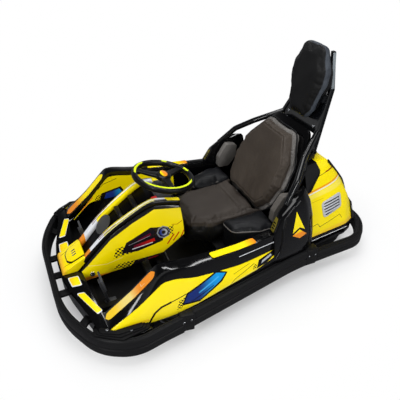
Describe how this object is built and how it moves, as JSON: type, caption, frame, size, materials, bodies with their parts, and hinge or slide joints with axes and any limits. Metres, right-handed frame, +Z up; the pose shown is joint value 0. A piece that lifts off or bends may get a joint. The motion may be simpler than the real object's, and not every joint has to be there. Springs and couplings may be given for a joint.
{
  "type": "drift kart",
  "caption": "Low electric drift kart with a full bumper ring, twin footwells round a steering cowl, reclined bucket seat and a tall headrest frame.",
  "frame": {"origin": "floor under the middle of the bumper ring's length and width", "axes": "+X points to the kart's front, +Y to its left side, +Z up"},
  "size_m": [1.868, 1.2038, 1.1501],
  "materials": {
    "frame_black": "satin black powder coat",
    "pan_black": "satin black",
    "bumper_black": "satin dark grey moulding",
    "gloss_black": "high gloss black",
    "body_yellow": "gloss yellow",
    "rail_white": "gloss white with stripes",
    "disc_grey": "satin grey",
    "column_steel": "plated steel",
    "grip_black": "moulded grip",
    "axle_steel": "machined steel",
    "drive_cast": "cast aluminium",
    "battery_black": "matt case",
    "seat_brown": "dark taupe leather",
    "seat_black": "black leather",
    "pedal_grey": "grey painted steel",
    "tyre_black": "slick rubber",
    "rim_silver": "cast aluminium"
  },
  "bodies": {
    "kart": {"frame_rails": "frame_black", "cross_tubes": "frame_black", "outriggers": "frame_black", "seat_posts": "frame_black", "battery_stand": "frame_black", "column_supports": "frame_black", "front_bars": "bumper_black", "floor_pan": "pan_black", "front_bumper": "bumper_black", "rear_bumper": "bumper_black", "side_bumper_left": "bumper_black", "side_bumper_right": "bumper_black", "front_fairing": "gloss_black", "nose_block": "body_yellow", "cowl_deck": "gloss_black", "cowl_side_left": "body_yellow", "cowl_side_right": "body_yellow", "cowl_rail_left": "rail_white", "cowl_rail_right": "rail_white", "number_disc": "disc_grey", "front_axle": "frame_black", "drive_unit": "drive_cast", "battery_pack": "battery_black", "rear_tail": "gloss_black", "rear_skirt": "bumper_black", "rear_cover_left": "body_yellow", "rear_cover_right": "body_yellow", "hip_guard_left": "gloss_black", "hip_guard_right": "gloss_black", "pod_rail_left": "gloss_black", "pod_rail_right": "gloss_black", "pod_panel_left": "body_yellow", "pod_panel_right": "body_yellow", "seat_shell": "pan_black", "seat_base": "seat_brown", "seat_back": "seat_brown", "seat_bolster_left": "seat_black", "seat_bolster_right": "seat_black", "roll_frame": "frame_black", "headrest_pad": "seat_black", "brake_pedal": "pedal_grey", "throttle_pedal": "pedal_grey"},
    "steering": {"steering_column": "column_steel", "steering_wheel": "grip_black"},
    "knuckle_left": {"knuckle_left": "axle_steel"},
    "knuckle_right": {"knuckle_right": "axle_steel"},
    "tie_rod_left": {"tie_rod_left": "column_steel"},
    "tie_rod_right": {"tie_rod_right": "column_steel"},
    "front_wheel_left": {"front_tyre_left": "tyre_black", "front_rim_left": "rim_silver"},
    "rear_wheel_left": {"rear_tyre_left": "tyre_black", "rear_rim_left": "rim_silver"},
    "front_wheel_right": {"front_tyre_right": "tyre_black", "front_rim_right": "rim_silver"},
    "rear_wheel_right": {"rear_tyre_right": "tyre_black", "rear_rim_right": "rim_silver"}
  },
  "joints": [
    {"name": "steering_turn", "type": "hinge", "parent": "kart", "child": "steering", "pos_m": [0.3658, 0, 0.133], "axis": [-0.2079, 0, 0.9781], "range_deg": [-35, 35]},
    {"name": "knuckle_left_turn", "type": "hinge", "parent": "kart", "child": "knuckle_left", "pos_m": [0.43, 0.335, 0.12], "axis": [0, 0, 1], "range_deg": [-21.5, 21.5]},
    {"name": "tie_rod_left_turn", "type": "hinge", "parent": "knuckle_left", "child": "tie_rod_left", "pos_m": [0.32, 0.335, 0.146], "axis": [0, 0, 1], "range_deg": [-21.5, 21.5]},
    {"name": "front_wheel_left_spin", "type": "hinge", "parent": "knuckle_left", "child": "front_wheel_left", "pos_m": [0.43, 0.43, 0.12], "axis": [0, 1, 0], "continuous": true},
    {"name": "rear_wheel_left_spin", "type": "hinge", "parent": "kart", "child": "rear_wheel_left", "pos_m": [-0.63, 0.25, 0.135], "axis": [0, 1, 0], "continuous": true},
    {"name": "knuckle_right_turn", "type": "hinge", "parent": "kart", "child": "knuckle_right", "pos_m": [0.43, -0.335, 0.12], "axis": [0, 0, 1], "range_deg": [-21.5, 21.5]},
    {"name": "tie_rod_right_turn", "type": "hinge", "parent": "knuckle_right", "child": "tie_rod_right", "pos_m": [0.32, -0.335, 0.146], "axis": [0, 0, 1], "range_deg": [-21.5, 21.5]},
    {"name": "front_wheel_right_spin", "type": "hinge", "parent": "knuckle_right", "child": "front_wheel_right", "pos_m": [0.43, -0.43, 0.12], "axis": [0, 1, 0], "continuous": true},
    {"name": "rear_wheel_right_spin", "type": "hinge", "parent": "kart", "child": "rear_wheel_right", "pos_m": [-0.63, -0.25, 0.135], "axis": [0, 1, 0], "continuous": true}
  ],
  "couplings": [
    {"joint": "knuckle_left_turn", "follows": "steering_turn", "ratio": 0.6},
    {"joint": "tie_rod_left_turn", "follows": "steering_turn", "ratio": -0.6},
    {"joint": "knuckle_right_turn", "follows": "steering_turn", "ratio": 0.6},
    {"joint": "tie_rod_right_turn", "follows": "steering_turn", "ratio": -0.6}
  ]
}
